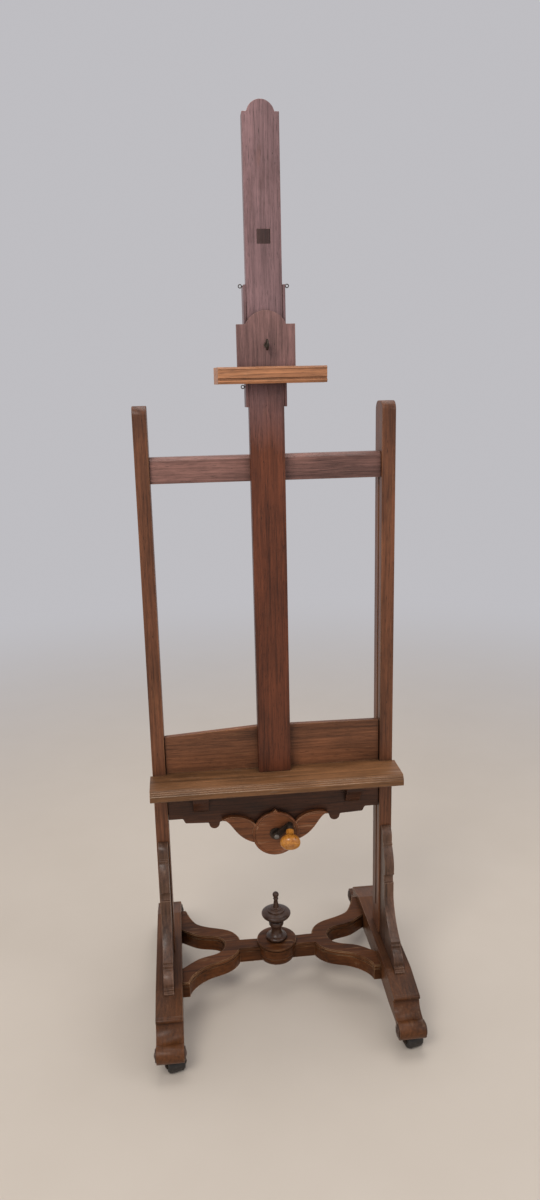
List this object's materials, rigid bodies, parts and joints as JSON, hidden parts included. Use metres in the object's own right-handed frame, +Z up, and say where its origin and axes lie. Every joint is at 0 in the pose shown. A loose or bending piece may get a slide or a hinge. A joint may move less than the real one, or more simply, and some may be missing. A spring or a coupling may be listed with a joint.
{
  "type": "h frame easel",
  "caption": "Studio easel of dark wood: two posts on rolling feet carry a crank-raised tray and mast with a sliding top clamp for a canvas.",
  "frame": {"origin": "centre of the bounding box's bottom face, on the floor between the four casters", "axes": "+Z up, +X to the viewer's right seen from the front, -Y towards the front with the tray and crank"},
  "size_m": [0.64, 0.604, 2.109],
  "materials": {
    "walnut": "satin, worn at the edges",
    "boxwood": "polished turned wood",
    "ebony": "satin",
    "dark_iron": "blackened, slightly worn",
    "steel": "machined, lightly oiled",
    "brass": "aged",
    "caster_wheel": "dark hard composition wheel"
  },
  "bodies": {
    "frame": {"left_foot": "walnut", "right_foot": "walnut", "scroll_bosses": "walnut", "left_post": "walnut", "right_post": "walnut", "crossbar": "walnut", "mast_key": "walnut", "left_bracket": "walnut", "right_bracket": "walnut", "left_stretcher": "walnut", "right_stretcher": "walnut", "stretcher_boss": "walnut", "finial": "walnut", "left_rack": "steel", "right_rack": "steel", "caster_plates": "dark_iron"},
    "carriage": {"backboard": "walnut", "tray": "walnut", "apron": "walnut", "cartouche": "walnut", "left_corbel": "walnut", "right_corbel": "walnut", "mast": "walnut", "mast_patch": "ebony", "left_guide": "walnut", "right_guide": "walnut", "crank_bush": "dark_iron", "gear_yoke": "steel", "left_hanger": "steel", "right_hanger": "steel"},
    "cross_shaft": {"cross_shaft": "steel", "worm_wheel": "brass", "left_pinion": "steel", "right_pinion": "steel"},
    "crank": {"crank_shaft": "steel", "worm": "steel", "crank_arm": "dark_iron", "handle_spindle": "dark_iron"},
    "handle": {"handle": "boxwood", "handle_ferrule": "dark_iron"},
    "clamp": {"clamp_plate": "walnut", "clamp_nut": "brass", "clamp_shelf": "walnut", "left_cheek": "walnut", "right_cheek": "walnut", "clamp_back": "walnut", "screw_eyes": "dark_iron"},
    "shoe": {"clamp_shoe": "brass"},
    "thumbscrew": {"thumbscrew": "dark_iron"},
    "front_left_caster": {"front_left_fork": "dark_iron"},
    "front_left_wheel": {"front_left_wheel": "caster_wheel"},
    "front_right_caster": {"front_right_fork": "dark_iron"},
    "front_right_wheel": {"front_right_wheel": "caster_wheel"},
    "rear_left_caster": {"rear_left_fork": "dark_iron"},
    "rear_left_wheel": {"rear_left_wheel": "caster_wheel"},
    "rear_right_caster": {"rear_right_fork": "dark_iron"},
    "rear_right_wheel": {"rear_right_wheel": "caster_wheel"}
  },
  "joints": [
    {"name": "carriage_lift", "type": "slide", "parent": "frame", "child": "carriage", "axis": [0, 0, 1], "range_m": [-0.06, 0.56]},
    {"name": "crank_turn", "type": "hinge", "parent": "carriage", "child": "crank", "pos_m": [0, 0.021, 0.45], "axis": [0, 1, 0], "range_deg": [-2751, 25669]},
    {"name": "shaft_turn", "type": "hinge", "parent": "carriage", "child": "cross_shaft", "pos_m": [0, 0.07475, 0.483], "axis": [1, 0, 0], "range_deg": [-196.5, 1833.5]},
    {"name": "handle_spin", "type": "hinge", "parent": "crank", "child": "handle", "pos_m": [0.034, -0.031, 0.477], "axis": [0.087, 0.8145, 0.5736], "continuous": true},
    {"name": "clamp_slide", "type": "slide", "parent": "carriage", "child": "clamp", "axis": [0, 0, 1], "range_m": [-0.04, 0.33]},
    {"name": "thumbscrew_turn", "type": "hinge", "parent": "clamp", "child": "thumbscrew", "pos_m": [0, -0.059, 1.624], "axis": [0, 1, 0], "range_deg": [-662, 0]},
    {"name": "shoe_press", "type": "slide", "parent": "clamp", "child": "shoe", "axis": [0, 1, 0], "range_m": [-0.0023, 0]},
    {"name": "front_left_swivel", "type": "hinge", "parent": "frame", "child": "front_left_caster", "pos_m": [-0.282, -0.224, 0.08], "axis": [0, 0, 1], "continuous": true},
    {"name": "front_left_roll", "type": "hinge", "parent": "front_left_caster", "child": "front_left_wheel", "pos_m": [-0.27165, -0.26264, 0.019], "axis": [0.9659, 0.2588, 0], "continuous": true},
    {"name": "front_right_swivel", "type": "hinge", "parent": "frame", "child": "front_right_caster", "pos_m": [0.282, -0.224, 0.08], "axis": [0, 0, 1], "continuous": true},
    {"name": "front_right_roll", "type": "hinge", "parent": "front_right_caster", "child": "front_right_wheel", "pos_m": [0.29168, -0.26281, 0.019], "axis": [0.9703, 0.2419, 0], "continuous": true},
    {"name": "rear_left_swivel", "type": "hinge", "parent": "frame", "child": "rear_left_caster", "pos_m": [-0.282, 0.224, 0.08], "axis": [0, 0, 1], "continuous": true},
    {"name": "rear_left_roll", "type": "hinge", "parent": "rear_left_caster", "child": "rear_left_wheel", "pos_m": [-0.28895, 0.26339, 0.019], "axis": [-0.9848, -0.1736, 0], "continuous": true},
    {"name": "rear_right_swivel", "type": "hinge", "parent": "frame", "child": "rear_right_caster", "pos_m": [0.282, 0.224, 0.08], "axis": [0, 0, 1], "continuous": true},
    {"name": "rear_right_roll", "type": "hinge", "parent": "rear_right_caster", "child": "rear_right_wheel", "pos_m": [0.26964, 0.26204, 0.019], "axis": [-0.9511, -0.309, 0], "continuous": true}
  ],
  "couplings": [
    {"joint": "crank_turn", "follows": "carriage_lift", "rad_per_m": 800},
    {"joint": "shaft_turn", "follows": "carriage_lift", "rad_per_m": 57.143},
    {"joint": "shoe_press", "follows": "thumbscrew_turn", "m_per_rad": 0.00019894}
  ]
}
